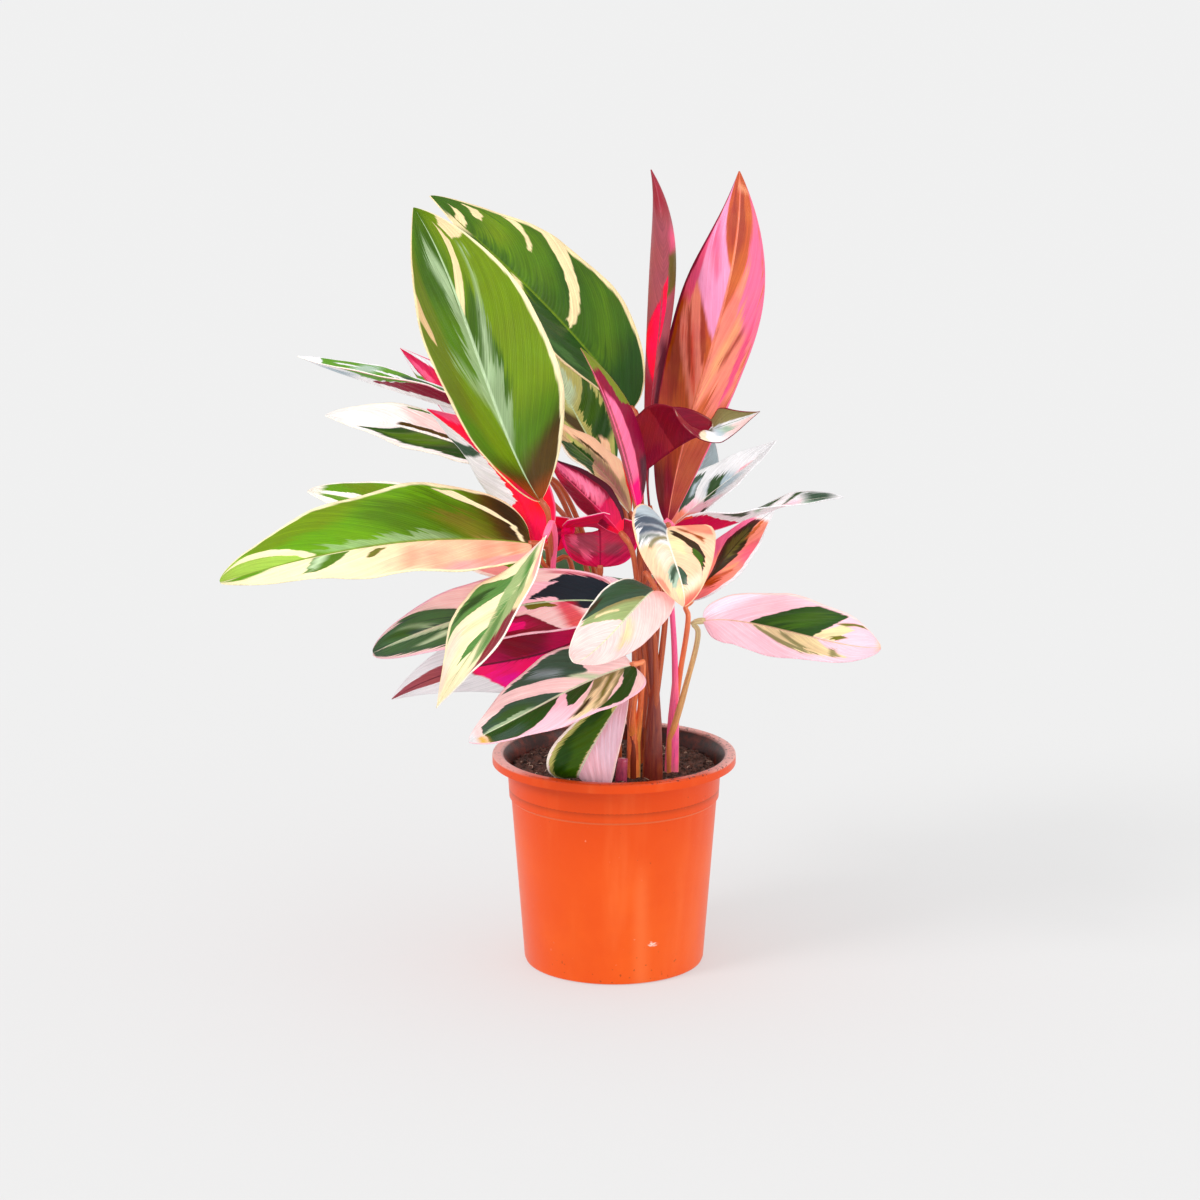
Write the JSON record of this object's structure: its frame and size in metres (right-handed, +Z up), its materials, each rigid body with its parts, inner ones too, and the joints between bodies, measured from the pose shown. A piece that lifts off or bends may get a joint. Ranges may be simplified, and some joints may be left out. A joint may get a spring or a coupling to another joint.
{
  "type": "potted stromanthe plant",
  "caption": "Tricolour stromanthe with cream, green and pink leaves over wine-red undersides, on upright stalks in a round orange nursery pot.",
  "frame": {"origin": "centre of the pot's flat base", "axes": "+Z up the pot's axis, -Y towards the viewer of the plant's face, +X to that viewer's right"},
  "size_m": [0.3623, 0.2626, 0.4582],
  "materials": {
    "leaf_green": "satin",
    "leaf_pale": "satin",
    "leaf_red": "satin",
    "stalk": "satin",
    "stub": "matt",
    "pot_plastic": "satin",
    "peat": "matt"
  },
  "bodies": {
    "root": {"leaf_tall_front": "leaf_green", "leaf_tall_rear": "leaf_green", "leaf_wide_left": "leaf_green", "leaf_left_behind": "leaf_green", "leaf_upper_left": "leaf_green", "leaf_green_behind": "leaf_green", "leaf_rear_right": "leaf_green", "leaf_right_long": "leaf_green", "leaf_centre_front": "leaf_green", "leaf_lower_left": "leaf_green", "leaf_hanging_pot": "leaf_green", "leaf_hanging_left": "leaf_green", "leaf_low_far_left": "leaf_green", "leaf_back_low": "leaf_green", "leaf_back_right": "leaf_green", "leaf_back_left": "leaf_green", "leaf_left_mid": "leaf_pale", "leaf_peach_mid": "leaf_pale", "leaf_right_narrow": "leaf_pale", "leaf_right_pink": "leaf_pale", "leaf_centre_oval": "leaf_pale", "leaf_rear_left": "leaf_red", "leaf_red_behind": "leaf_red", "leaf_rolled_upright": "leaf_red", "leaf_tall_right": "leaf_red", "leaf_pink_mid": "leaf_red", "leaf_rolled_centre": "leaf_red", "leaf_arched_right": "leaf_red", "leaf_right_under": "leaf_red", "leaf_magenta_under": "leaf_red", "leaf_back_left_red": "leaf_red", "leaf_back_red": "leaf_red", "stalks_front": "stalk", "stalks_side": "stalk", "stalks_right": "stalk", "stalks_rear_left": "stalk", "stalks_rear": "stalk", "stalks_rear_right": "stalk", "stub_sheath": "stub", "stub_stalk": "stub", "pot": "pot_plastic", "soil": "peat"}
  },
  "joints": []
}
